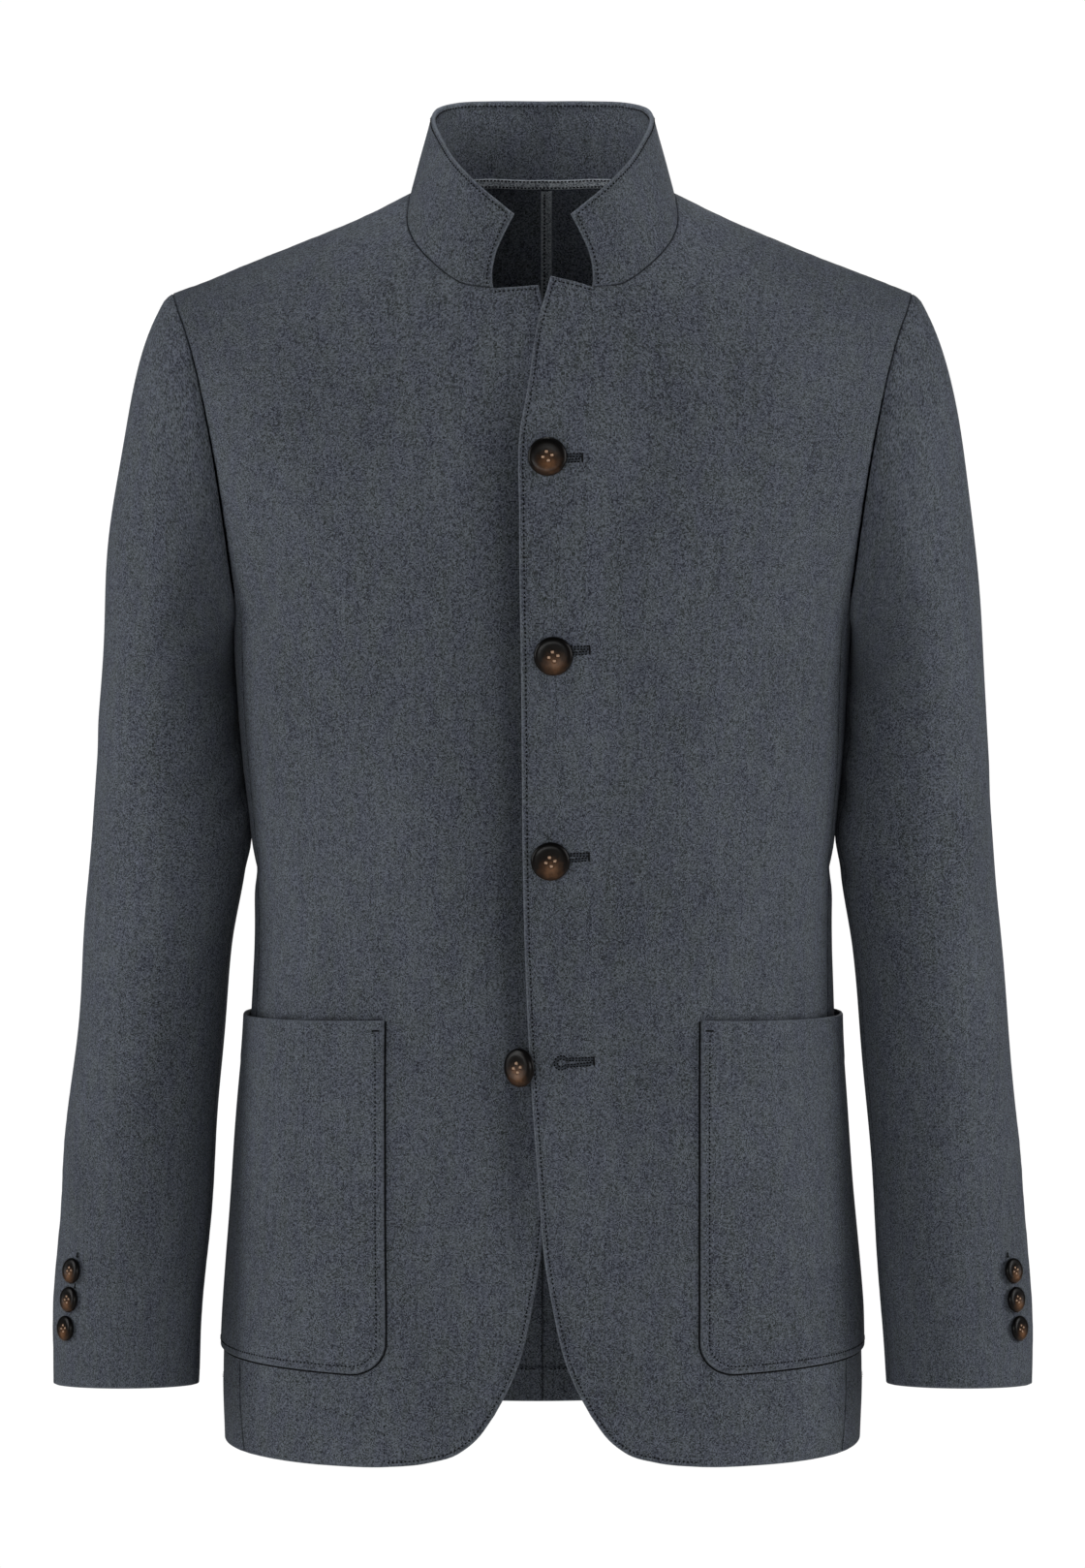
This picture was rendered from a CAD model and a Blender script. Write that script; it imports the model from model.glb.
# A man's slate blue blazer with a stand collar, filled out as if worn, with nobody in it.
# Metres. +X is the wearer's left, -Y the front, +Z up; the origin is midway between the two
# points where the shoulder seams meet the neckline.
import bpy
import numpy as np
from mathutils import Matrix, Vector


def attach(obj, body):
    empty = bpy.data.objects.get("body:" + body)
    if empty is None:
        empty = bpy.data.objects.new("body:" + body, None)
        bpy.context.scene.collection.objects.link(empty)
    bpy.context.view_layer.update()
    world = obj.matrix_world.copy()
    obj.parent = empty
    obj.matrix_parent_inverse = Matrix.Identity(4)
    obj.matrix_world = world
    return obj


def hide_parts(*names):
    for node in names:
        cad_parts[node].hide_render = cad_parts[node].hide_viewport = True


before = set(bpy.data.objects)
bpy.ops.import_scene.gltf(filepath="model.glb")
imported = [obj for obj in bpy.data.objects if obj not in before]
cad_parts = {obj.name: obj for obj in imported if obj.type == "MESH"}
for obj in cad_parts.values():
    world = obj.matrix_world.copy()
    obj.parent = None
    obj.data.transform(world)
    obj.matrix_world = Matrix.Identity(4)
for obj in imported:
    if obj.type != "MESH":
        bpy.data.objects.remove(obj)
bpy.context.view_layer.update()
print("frame:", len(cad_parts), "nodes")


# ---- curves and surfaces shared by the pieces

def smooth(x, xs, ys):
    # a cubic through a table's rows, each row's slope taken from its neighbours
    xs, ys = np.asarray(xs, float), np.asarray(ys, float)
    slopes = np.gradient(ys, xs)
    i = np.clip(np.searchsorted(xs, x) - 1, 0, len(xs) - 2)
    step = xs[i + 1] - xs[i]
    s = np.clip((x - xs[i]) / step, 0, 1)
    return ((1 + 2 * s) * (1 - s) ** 2 * ys[i] + s * (1 - s) ** 2 * step * slopes[i]
            + s * s * (3 - 2 * s) * ys[i + 1] - s * s * (1 - s) * step * slopes[i + 1])


def eased(share):
    # 0 to 1 with a soft start and end
    share = np.clip(share, 0, 1)
    return share * share * (3 - 2 * share)


def bell(far, width):
    # exp(-(far / width)^2)
    return np.exp(-(far / width) ** 2)


def columns(*values):
    # arrays or single numbers side by side, as rows of points
    return np.stack(np.broadcast_arrays(*values), -1)


def unit(vectors):
    # vectors at the length of one
    return vectors / np.maximum(np.linalg.norm(vectors, axis=-1, keepdims=True), 1e-12)


def reachOf(points):
    # length along a line of points up to each of them
    return np.append(0, np.cumsum(np.linalg.norm(np.diff(points, axis=0), axis=1)))


def along(points, shares, places=None):
    # rows of a smooth curve through the points, at shares (0 to 1) of its length, which is
    # measured on places where the rows are spots on the body
    points = np.asarray(points, float)
    reach = reachOf(points if places is None else places)
    at = np.asarray(shares) * reach[-1]
    return columns(*(smooth(at, reach, column) for column in points.T))


def spaced(path, shares):
    # rows of a straight-sided path at shares (0 to 1) of its length
    reach = reachOf(path)
    return columns(*(np.interp(np.asarray(shares) * reach[-1], reach, column) for column in path.T))


body = {
    "armpitZ": -0.250, "hemZ": -0.7572, "ridgeY": 0.010, "shoulderSpread": 0.054,
    "ringPower": 2.3, "domePower": 2.2, "neckHalf": 0.0788, "shoulderHalf": 0.2235,
    # z, half width, depth in front, depth behind, from the hem up
    "sections": [
        (-0.7572, 0.1945, 0.134, 0.138), (-0.7300, 0.1957, 0.134, 0.139), (-0.6500, 0.1905, 0.134, 0.138),
        (-0.5500, 0.1817, 0.133, 0.127), (-0.4950, 0.1770, 0.132, 0.117), (-0.4500, 0.1750, 0.132, 0.112),
        (-0.4060, 0.1766, 0.134, 0.116), (-0.3300, 0.1825, 0.141, 0.131), (-0.2500, 0.1880, 0.145, 0.142)],
    # distance from the centre, height of the shoulder line
    "shoulder": [
        (0.0000, 0.0300), (0.0400, 0.0180), (0.0788, -0.0005), (0.1180, -0.0197),
        (0.1520, -0.0337), (0.1890, -0.0476), (0.2235, -0.0615), (0.2500, -0.0730)],
}


def shoulderZ(x):
    # the shoulder line's height at a distance from the centre
    return smooth(np.abs(x), *np.transpose(body["shoulder"]))


def torso(spots):
    # A spot is (turn, level): turn in degrees from the centre front towards the wearer's left,
    # level -1 at the hem, 0 at the armpit, 1 on the shoulder line. Each ring is a superellipse,
    # |x/a|^n + |y/b|^n = 1; above the armpit it rises and closes like a dome.
    z0, halves, fronts, backs = np.transpose(body["sections"])
    turn, level = np.radians(spots[..., 0]), spots[..., 1]
    climb = np.radians(90 * np.clip(level, 0, 1))
    rise, fall = np.sin(climb) ** (2 / body["domePower"]), np.cos(climb) ** (2 / body["domePower"])
    z = body["armpitZ"] + np.minimum(level, 0) * (body["armpitZ"] - body["hemZ"])
    half = smooth(z, z0, halves) + body["shoulderSpread"] * rise
    depth = np.where(np.cos(turn) > 0, smooth(z, z0, fronts), smooth(z, z0, backs))
    power = 2 / body["ringPower"]
    x = half * np.sign(np.sin(turn)) * np.abs(np.sin(turn)) ** power
    y = body["ridgeY"] * rise - depth * fall * np.sign(np.cos(turn)) * np.abs(np.cos(turn)) ** power
    return columns(x, y, z + rise * (shoulderZ(x) - body["armpitZ"]))


def spotsAt(points, back=False):
    # the spots of places given as (x, z) in front view, on the front or on the back
    x, z = np.asarray(points, float)[..., 0], np.asarray(points, float)[..., 1]
    armpit = body["armpitZ"]
    rise = np.clip((z - armpit) / (shoulderZ(x) - armpit), 0, 1)
    climb = np.degrees(np.arcsin(rise ** (body["domePower"] / 2))) / 90
    level = np.where(z < armpit, (z - armpit) / (armpit - body["hemZ"]), climb)
    z0, halves = np.transpose(body["sections"])[:2]
    half = smooth(np.minimum(z, armpit), z0, halves) + body["shoulderSpread"] * rise
    share = np.clip(np.abs(x) / half, 0, 1)
    turn = np.degrees(np.arcsin(share ** (body["ringPower"] / 2))) * np.sign(x)
    return columns(180 - turn if back else turn, level)


def normalsAt(spots):
    # unit directions out of the body: the cross product of its steps round and up
    turn, level = spots[..., 0], np.minimum(spots[..., 1], 0.998)
    around, up = (torso(columns(turn + a, level + b)) - torso(columns(turn - a, level - b))
                  for a, b in ((0.2, 0), (0, 0.002)))
    return unit(np.cross(around, up))


def gridNormals(grid):
    # unit directions out of a grid of points: the cross product of its steps across and up
    return unit(np.cross(np.gradient(grid, axis=1), np.gradient(grid, axis=0)))


def patch(left, right, bottom, top, u, w):
    # spots inside four edges: each edge's pull fades across the patch (a Coons patch)
    u, w = u[None, :, None], w[:, None, None]
    corners = ((1 - u) * (1 - w) * bottom[0] + u * (1 - w) * bottom[-1]
               + (1 - u) * w * top[0] + u * w * top[-1])
    return ((1 - u) * left[:, None] + u * right[:, None]
            + (1 - w) * bottom[None] + w * top[None] - corners)


def parts(length, step=0.0042, start=True, end=True):
    # parts (0 to 1) of a length in even steps, closer together near an edge that is sewn
    near = np.array((0, 0.0004, 0.0009, 0.0015, 0.0022, 0.0028, 0.0035, 0.0048))
    low = near if start else near[:1]
    high = near if end else near[:1]
    count = max(int((length - low[-1] - high[-1]) / step), 2)
    middle = np.linspace(low[-1], length - high[-1], count + 1)[1:-1]
    return np.concatenate([low, middle, length - high[::-1]]) / length


def fromLine(points, path, chunk=3000):
    # distance of points from a path and the place along it, the least over its straight pieces
    flat = points.reshape(-1, path.shape[1])
    first, step = path[:-1], np.diff(path, axis=0)
    square = np.maximum((step ** 2).sum(-1), 1e-14)
    reach = reachOf(path)[:-1]
    away, place = np.empty(len(flat)), np.empty(len(flat))
    for start in range(0, len(flat), chunk):
        gap = flat[start:start + chunk, None] - first[None]
        share = np.clip((gap * step).sum(-1) / square, 0, 1)
        far = np.linalg.norm(gap - share[..., None] * step, axis=-1)
        best = far.argmin(axis=1)
        rows = np.arange(len(best))
        away[start:start + chunk] = far[rows, best]
        place[start:start + chunk] = reach[best] + share[rows, best] * np.sqrt(square[best])
    return away.reshape(points.shape[:-1]), place.reshape(points.shape[:-1])


cut = {
    # front edge as (z, x) from the cut-away corner up, hem as (x, z), necklines as (x, z)
    "frontEdge": [
        (-0.7220, 0.0285), (-0.7080, 0.0210), (-0.6930, 0.0146), (-0.6760, 0.0098), (-0.6580, 0.0061),
        (-0.6290, 0.0012), (-0.5830, -0.0026), (-0.5080, -0.0077), (-0.4500, -0.0102), (-0.2840, -0.0125),
        (-0.1900, -0.0136), (-0.1390, -0.0131), (-0.1140, -0.0085), (-0.0770, -0.0028)],
    "hem": [
        (0.0285, -0.7220), (0.0372, -0.7345), (0.0494, -0.7450), (0.0673, -0.7512),
        (0.0920, -0.7548), (0.1300, -0.7567), (0.1800, -0.7572), (0.2000, -0.7572)],
    "topCorner": {"left": (0.0045, -0.0500), "right": (0.0023, -0.0537)},
    "frontNeck": [(0.0290, -0.0560), (0.0480, -0.0528), (0.0615, -0.0440), (0.0700, -0.0365)],
    "sideNeck": [
        (0.0700, -0.0365), (0.0765, -0.0285), (0.0804, -0.0190), (0.0802, -0.0080), (0.0788, -0.0005)],
    "backNeck": [(0.0788, -0.0005), (0.0700, 0.0025), (0.0500, 0.0045), (0.0250, 0.0050), (0.0, 0.0050)],
    # z, turn of the seam between front and side, turn of the one between side and back
    "seams": [(-0.7572, 66.0, 118.0), (-0.6000, 72.0, 115.0), (-0.4500, 77.0, 111.0), (-0.3200, 77.0, 109.0)],
    "seamEase": (-0.4500, -0.2300),
    "frontArmhole": [
        (0.2235, -0.0615), (0.2190, -0.0715), (0.2139, -0.0840), (0.2076, -0.1040), (0.2008, -0.1330),
        (0.1952, -0.1620), (0.1907, -0.1910), (0.1868, -0.2200), (0.1845, -0.2400), (0.1880, -0.2500)],
    "backArmhole": [
        (0.2235, -0.0615), (0.2200, -0.0710), (0.2155, -0.0850), (0.2100, -0.1030), (0.2040, -0.1300),
        (0.1985, -0.1600), (0.1940, -0.1900), (0.1900, -0.2200), (0.1870, -0.2420), (0.1880, -0.2500)],
    # turns round the armhole from the shoulder point: front seam, back seam, and the yoke line
    "frontSeamStop": 130, "backSeamStop": 232, "yokeStop": 38,
    "gap": 0.0001,          # between two pieces at a seam
}


def armhole(stops):
    # spots round an armhole: 0 at the shoulder point, 180 at the armpit by the front, 360 back up
    stops = np.asarray(stops, float)
    spots = np.empty((len(stops), 2))
    for rows, back, start in ((cut["frontArmhole"], False, 0), (cut["backArmhole"], True, 360)):
        places = spotsAt(rows, back)
        share = reachOf(torso(places))
        mine = stops > 180 if back else stops <= 180
        at = np.abs(stops[mine] - start) / 180 * share[-1]
        spots[mine] = columns(*(smooth(at, share, column) for column in places.T))
    return spots


def seamLine(which, stops):
    # a panel's edge: a seam up from the hem to the armhole, then the armhole
    hole = armhole(stops)
    z = np.linspace(body["hemZ"], body["armpitZ"] - 0.02, 200)
    heights, turns = np.transpose(cut["seams"])[0], np.transpose(cut["seams"])[which]
    lower = columns(smooth(z, heights, turns), (z - body["armpitZ"]) / (body["armpitZ"] - body["hemZ"]))
    low, high = cut["seamEase"]
    lower[:, 0] += np.clip((z - low) / (high - low), 0, 1) ** 2 * (hole[0, 0] - lower[-1, 0])
    return np.concatenate([lower, hole])


def onBody(spots, share):
    # an edge's spots at parts of its real length
    return along(spots, share, torso(spots))


frontNeck, sideNeck, backNeck = (onBody(spotsAt(cut[key], key == "backNeck"), np.linspace(0, 1, count))
                                 for key, count in (("frontNeck", 60), ("sideNeck", 80), ("backNeck", 80)))
armholePath = torso(armhole(np.linspace(0, 360, 360)))
neckPath = torso(np.concatenate([frontNeck, sideNeck[1:], backNeck[1:]]))
flips = {"left": np.array((1, 1, 1)), "right": np.array((-1, 1, 1))}    # the right half is the left's mirror

drape = {
    # soft creases: where it is seen from, its two ends (across, z), how far its middle bows
    # across, half width and depth of the trough
    "creases": [
        ("front", -0.118, -0.075, -0.150, -0.165, 0.006, 0.015, 0.0025),
        ("front", -0.092, -0.062, -0.104, -0.200, 0.004, 0.017, 0.0019),
        ("front", -0.060, -0.085, -0.058, -0.240, -0.005, 0.016, 0.0017),
        ("front", 0.062, -0.080, 0.044, -0.215, 0.006, 0.016, 0.0023),
        ("front", 0.105, -0.070, 0.128, -0.190, -0.006, 0.017, 0.0019),
        ("front", 0.150, -0.120, 0.160, -0.230, 0.004, 0.013, 0.0021),
        ("front", -0.162, -0.150, -0.168, -0.255, 0.003, 0.012, 0.0023),
        ("front", -0.130, -0.300, -0.085, -0.450, 0.010, 0.020, 0.0017),
        ("front", 0.135, -0.280, 0.095, -0.430, -0.010, 0.022, 0.0019),
        ("front", -0.155, -0.380, -0.120, -0.470, 0.008, 0.013, 0.0025),
        ("front", 0.152, -0.395, 0.122, -0.478, -0.007, 0.013, 0.0025),
        ("front", 0.040, -0.400, 0.090, -0.480, 0.008, 0.018, 0.0017),
        ("front", -0.045, -0.560, -0.062, -0.700, 0.004, 0.020, 0.0019),
        ("front", 0.058, -0.550, 0.070, -0.705, -0.005, 0.020, 0.0021),
        ("back", -0.060, -0.100, -0.095, -0.280, 0.008, 0.018, 0.0021),
        ("back", 0.075, -0.090, 0.098, -0.260, -0.007, 0.017, 0.0019),
        ("back", -0.130, -0.140, -0.165, -0.235, 0.006, 0.012, 0.0022),
        ("back", 0.135, -0.130, 0.166, -0.230, -0.006, 0.012, 0.0021),
        ("back", -0.100, -0.400, -0.020, -0.452, 0.008, 0.012, 0.0022),
        ("back", 0.110, -0.385, 0.030, -0.440, 0.007, 0.013, 0.0021),
        ("back", -0.070, -0.455, 0.010, -0.478, 0.006, 0.010, 0.0014),
        ("back", 0.075, -0.540, 0.088, -0.735, 0.005, 0.024, 0.0019),
        ("back", -0.090, -0.560, -0.080, -0.740, -0.006, 0.024, 0.0018),
        ("side", -0.040, -0.400, 0.050, -0.455, 0.010, 0.012, 0.0023),
        ("side", 0.000, -0.455, 0.065, -0.490, 0.006, 0.011, 0.0015),
        ("side", 0.020, -0.540, 0.030, -0.730, 0.006, 0.022, 0.0015)],
    # slow waves: length in metres along x, y and z, phase, height
    "waves": [
        (0.210, 0.400, 0.310, 0.4, 0.0006), (0.130, 0.300, 0.170, 2.1, 0.0005),
        (0.090, 0.240, 0.420, 4.0, 0.0004), (0.300, 0.170, 0.110, 5.2, 0.0004)],
    "stillArmhole": 0.028, "stillNeck": 0.030,      # no crease this close to a sewn-on piece
}


def trough(across, up, ends, bow, width):
    # the mexican-hat section (1 - 0.6 d^2) exp(-d^2) of a crease, fading out towards its ends
    (a0, z0), (a1, z1) = ends
    run = np.array((a1 - a0, z1 - z0))
    length = np.hypot(*run)
    run = run / length
    share = ((across - a0) * run[0] + (up - z0) * run[1]) / length
    far = (across - a0) * run[1] - (up - z0) * run[0] + bow * (1 - (2 * share - 1) ** 2)
    d = (far / width) ** 2
    ends = eased((share + 0.18) / 0.45) * eased((1.18 - share) / 0.45)
    return (1 - 0.6 * d) * np.exp(-d) * ends


def crumple(points):
    # how far the cloth stands in or out: slow waves and creases
    x, y, z = np.moveaxis(points, -1, 0)
    lift = np.zeros_like(x)
    for lx, ly, lz, phase, height in drape["waves"]:
        lift += (height * np.sin(2 * np.pi * (x / lx + y / ly) + phase)
                 * np.sin(2 * np.pi * z / lz + phase * 1.7))
    views = {"front": (x, eased(-y / 0.06)), "back": (x, eased(y / 0.06)),
             "side": (y, eased((np.abs(x) - 0.13) / 0.03))}
    for view, a0, z0, a1, z1, bow, width, depth in drape["creases"]:
        across, here = views[view]
        lift -= depth * here * trough(across, z, ((a0, z0), (a1, z1)), bow, width)
    return lift


lap = {
    "lift": 0.0034, "out": 0.018, "outBlend": 0.024, "low": -0.675, "lowBlend": 0.060,
    # the top front's edge bows out between two buttons: how far, the first button, their spacing
    "bay": 0.0010, "bayTop": -0.1547, "bayLength": 0.1196,
    # The under front falls away beneath the other, in a trough and a shallow hollow beside it:
    # depth, place across, half width, where it begins and ends down the front with its fades
    "falls": [(0.0110, 0.0080, 0.0135, -0.100, 0.10, -0.640, 0.12),
              (0.0070, 0.0000, 0.0420, -0.080, 0.07, -0.520, 0.12)],
}


def skin(spots, side="left", kind="plain"):
    # the cloth's outer face and its directions outwards at spots on one half of the body
    flip = flips[side]
    flat, normals = torso(spots), normalsAt(spots)
    x, z = flat[..., 0], flat[..., 2]
    still = (eased(fromLine(flat, armholePath)[0] / drape["stillArmhole"])
             * eased(fromLine(flat, neckPath)[0] / drape["stillNeck"]))
    lift = crumple(flat * flip) * still
    if kind == "front":
        reach = eased((lap["out"] + lap["outBlend"] - x) / lap["outBlend"])
        low = eased((z - lap["low"] + lap["lowBlend"]) / lap["lowBlend"])
        if side == "left":
            bays = np.sin(np.pi * (z - lap["bayTop"]) / lap["bayLength"]) ** 2 * eased((-0.13 - z) / 0.03)
            lift = lift * (1 - 0.7 * reach) + lap["lift"] * reach * low
            lift += lap["bay"] * bays * reach ** 2 * low
        else:
            lift = lift * (1 - 0.7 * reach)
            for depth, at, width, high, fadeIn, end, fadeOut in lap["falls"]:
                lift -= depth * bell(x - at, width) * eased((high - z) / fadeIn) * eased((z - end) / fadeOut)
    return (flat + normals * lift[..., None]) * flip, normals * flip


# ---- cloth edges and meshes

arcTurns = np.linspace(-20, 200, 441)
arcReach = reachOf(torso(columns(arcTurns, 0.0)))
domeLevels = np.linspace(0, 1, 60)
domeReach = reachOf(torso(columns(35.0, domeLevels)))


def clothCoords(spots, side="left"):
    # the cloth's own measure in metres: round the body and up it, so the weave keeps its size
    across = np.interp(spots[..., 0], arcTurns, arcReach)
    low = np.minimum(spots[..., 1], 0) * (body["armpitZ"] - body["hemZ"])
    coords = columns(across, low + np.interp(spots[..., 1], domeLevels, domeReach))
    return coords if side == "left" else coords * (-1, 1) + (7.3, 2.1)


def gridCoords(grid, shift=0.0):
    # the same for a grid: length along its middle row and up its middle column
    rows, cols = grid.shape[:2]
    across, up = reachOf(grid[rows // 2]), reachOf(grid[:, cols // 2])
    return columns(across[None] + shift, up[:, None] + shift * 0.7)


edges = {
    # the turned edge's radius, its stitch row's distance from it, the row's groove and pucker
    "roll": 0.0012, "stitched": 0.0028, "groove": 0.00020, "grooveWidth": 0.0007, "pucker": 0.00012,
    "seamRoll": 0.0007, "seamRidge": 0.00024, "seamPucker": 0.00018,
    "wearWidth": 0.0009, "wear": 0.45, "pinchWidth": 0.0007, "pinch": 0.85,
}


def pucker(place, first, second, phase):
    # two waves along a seam, one times the other
    return np.sin(place / first * 2 * np.pi) * np.sin(place / second * 2 * np.pi + phase)


def edgeRoll(away, radius=edges["roll"]):
    # a turned edge: a quarter round of the radius, falling to the fold
    near = np.clip(1 - away / radius, 0, 1)
    return -radius * (1 - np.sqrt(np.maximum(1 - near ** 2, 0)))


def sewnEdge(away, place):
    # an edge with a row of stitches: it rolls over, sinks along the row and puckers a little
    off = away - edges["stitched"]
    return (edgeRoll(away) - edges["groove"] * bell(off, edges["grooveWidth"])
            + edges["pucker"] * pucker(place, 0.0071, 0.0193, 1.0) * bell(off, 0.0050))


def plainSeam(away, place):
    # a seam pressed open: a narrow valley, and its turnings as a faint ridge beside it
    return (edgeRoll(away, edges["seamRoll"]) + edges["seamRidge"] * bell(away - 0.0065, 0.0040)
            + edges["seamPucker"] * pucker(place, 0.0120, 0.0310, 2.0) * bell(away, 0.010))


def wearAt(away, seamAway=1.0):
    # how much an edge has paled and a seam lies in the dark, from the distances to them
    pale, dark = bell(away, edges["wearWidth"]), bell(seamAway, edges["pinchWidth"])
    return edges["wear"] * pale - edges["pinch"] * dark


def wall(points, normals, out, deep):
    # the two faces of a cloth: out from the points along the normals, and deep the other way
    return points + normals * out[..., None], points - normals * deep[..., None]


def drawIn(outer, inner, left=0.0, right=0.0, bottom=0.0, top=0.0):
    # draws both faces' edges in by the clearances given, or out where one is below zero
    for rows, beside, gap in ((np.s_[:, 0], np.s_[:, 1], left), (np.s_[:, -1], np.s_[:, -2], right),
                              (np.s_[0], np.s_[1], bottom), (np.s_[-1], np.s_[-2], top)):
        step = unit(outer[beside] - outer[rows]) * gap
        outer[rows] += step
        inner[rows] += step


def quads(index):
    # four-cornered faces of a grid of point numbers
    return columns(index[:-1, :-1], index[:-1, 1:], index[1:, 1:], index[1:, :-1]).reshape(-1, 4)


def makeMesh(name, points, faces, material, coords=None, worn=None):
    # a mesh from whole arrays: points, faces by their number of corners, the cloth's measure, wear
    mesh = bpy.data.meshes.new(name)
    corners = np.concatenate([f.ravel() for f in faces]).astype(np.int32)
    sizes = np.concatenate([np.full(len(f), f.shape[1]) for f in faces])
    mesh.vertices.add(len(points))
    mesh.vertices.foreach_set("co", np.asarray(points, np.float32).ravel())
    mesh.loops.add(len(corners))
    mesh.loops.foreach_set("vertex_index", corners)
    mesh.polygons.add(len(sizes))
    mesh.polygons.foreach_set("loop_start", np.append(0, np.cumsum(sizes)[:-1]).astype(np.int32))
    mesh.update(calc_edges=True)
    if coords is not None:
        layer = mesh.uv_layers.new(name="cloth")
        layer.data.foreach_set("uv", np.asarray(coords, np.float32)[corners].ravel())
    if worn is not None:
        mesh.attributes.new("worn", "FLOAT", "POINT").data.foreach_set("value", np.asarray(worn, np.float32))
    mesh.polygons.foreach_set("use_smooth", np.ones(len(sizes), bool))
    mesh.materials.append(material)
    mesh.validate()
    return mesh


def addPiece(name, mesh, nodes=()):
    # an object of the blazer, the CAD nodes that it replaces and its material slot
    piece = bpy.data.objects.new(name, mesh)
    bpy.context.scene.collection.objects.link(piece)
    if nodes:
        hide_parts(*nodes)
    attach(piece, "root")
    return piece


def rimFaces(faces, count):
    # four-cornered faces from the open edges of a sheet to the same edges of its other face
    ends = np.concatenate([faces[:, (i, (i + 1) % 4)] for i in range(4)])
    back = {(b, a) for a, b in ends.tolist()}
    loose = np.array([(a, b) for a, b in ends.tolist() if (a, b) not in back])
    return columns(loose[:, 1], loose[:, 0], loose[:, 0] + count, loose[:, 1] + count)


def shellMesh(name, parts, material, mirrored=False):
    # A closed wall of cloth. Each part is an outer grid, an inner grid, its measure and its wear,
    # and the inner grid's wear where that differs. A second part's first row is the last stretch
    # of the first part's top row.
    faces, kept, count, last = [], [], 0, None
    for number, (outer, *_) in enumerate(parts):
        rows, cols = outer.shape[:2]
        if number:
            index = np.empty((rows, cols), int)
            index[0] = last[-1, -cols:]
            index[1:] = np.arange((rows - 1) * cols).reshape(rows - 1, cols) + count
        else:
            index = np.arange(rows * cols).reshape(rows, cols)
        kept.append(np.s_[1:] if number else np.s_[:])
        count += (rows - 1 if number else rows) * cols
        faces.append(quads(index))
        last = index
    faces = np.concatenate(faces)
    if mirrored:
        faces = faces[:, ::-1]
    outer, inner, coords = (np.concatenate([part[k][rows].reshape(-1, part[k].shape[-1])
                                            for part, rows in zip(parts, kept)]) for k in (0, 1, 2))
    worn = np.concatenate([part[face][rows].ravel() for face in (3, -1) for part, rows in zip(parts, kept)])
    every = np.concatenate([faces, faces[:, ::-1] + count, rimFaces(faces, count)])
    return makeMesh(name, np.concatenate([outer, inner]), [every], material,
                    np.concatenate([coords, coords]), worn)


# ---- stitches

stitch = {
    "spacing": 0.0026, "length": 0.0014, "radius": 0.00048, "proud": 0.00022,
    # one stitch along its length: place and thickness; its ends dive into the cloth
    "rings": ((-1.0, 0.40), (-0.62, 1.0), (0.62, 1.0), (1.0, 0.40)), "sides": 6, "dive": 0.9,
}


def stitchShape():
    # a stitch of length 2 and radius 1 along x: rings of points, closed at both ends
    turn = np.arange(stitch["sides"]) * 2 * np.pi / stitch["sides"]
    place, thick = np.transpose(stitch["rings"])
    x = np.repeat(place, len(turn))
    y = (thick[:, None] * np.cos(turn)).ravel()
    z = (thick[:, None] * np.sin(turn) - stitch["dive"] * place[:, None] ** 4).ravel()
    index = np.arange(len(x)).reshape(len(place), len(turn))
    index = np.append(index, index[:, :1], axis=1)
    ends = [index[0, (0, 1, 2, 3)][::-1], index[0, (3, 4, 5, 0)][::-1],
            index[-1, (0, 1, 2, 3)], index[-1, (3, 4, 5, 0)]]
    return columns(x, y, z), np.concatenate([quads(index)[:, ::-1], ends])


stitchPoints, stitchFaces = stitchShape()


def stitches(centres, runs, normals, length=None, radius=None):
    # joined stitches: each lies at its centre, along its run, half sunk below the surface
    length, radius = length or stitch["length"], radius or stitch["radius"]
    runs = unit(runs - normals * (runs * normals).sum(-1, keepdims=True))
    across = np.cross(normals, runs)
    x, y, z = stitchPoints.T
    points = (centres[:, None] + runs[:, None] * (x * length / 2)[None, :, None]
              + across[:, None] * (y * radius)[None, :, None]
              + normals[:, None] * (z * radius + stitch["proud"])[None, :, None])
    faces = stitchFaces[None] + (np.arange(len(centres)) * len(x))[:, None, None]
    return points.reshape(-1, 3), faces.reshape(-1, 4)


def stitchRow(points, normals, spacing=None, length=None, radius=None, across=False, start=0.5):
    # stitches in a row along a path of points, or each across it
    spacing = spacing or stitch["spacing"]
    reach = reachOf(points)
    at = (np.arange(int(reach[-1] / spacing)) + start) * spacing
    centres, later, upright = (columns(*(np.interp(spots, reach, column) for column in values.T))
                               for spots, values in ((at, points), (at + 0.0004, points), (at, normals)))
    runs, upright = unit(later - centres + 1e-9), unit(upright)
    if across:
        runs = np.cross(upright, runs)
    return stitches(centres, runs, upright, length, radius)


def addStitches(name, rows, material):
    # one piece from several rows of stitches
    starts = np.append(0, np.cumsum([len(points) for points, _ in rows])[:-1])
    faces = np.concatenate([faces + start for (_, faces), start in zip(rows, starts)])
    mesh = makeMesh(name, np.concatenate([points for points, _ in rows]), [faces], material)
    return addPiece(name, mesh)


# ---- materials

def fromHex(code):
    # an sRGB hex value as linear colour
    value = np.array([int(code[i:i + 2], 16) for i in (1, 3, 5)]) / 255
    value = np.where(value <= 0.04045, value / 12.92, ((value + 0.055) / 1.055) ** 2.4)
    return (*value.tolist(), 1.0)


def add(tree, kind, inputs=(), out=0, **settings):
    # one node with its settings, and its inputs as values or as links; gives one of its outputs
    node = tree.nodes.new("ShaderNode" + kind)
    for key, value in settings.items():
        setattr(node, key, value)
    for key, value in inputs.items() if isinstance(inputs, dict) else enumerate(inputs):
        if isinstance(value, bpy.types.NodeSocket):
            tree.links.new(value, node.inputs[key])
        else:
            node.inputs[key].default_value = value
    return node.outputs[out]


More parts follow.
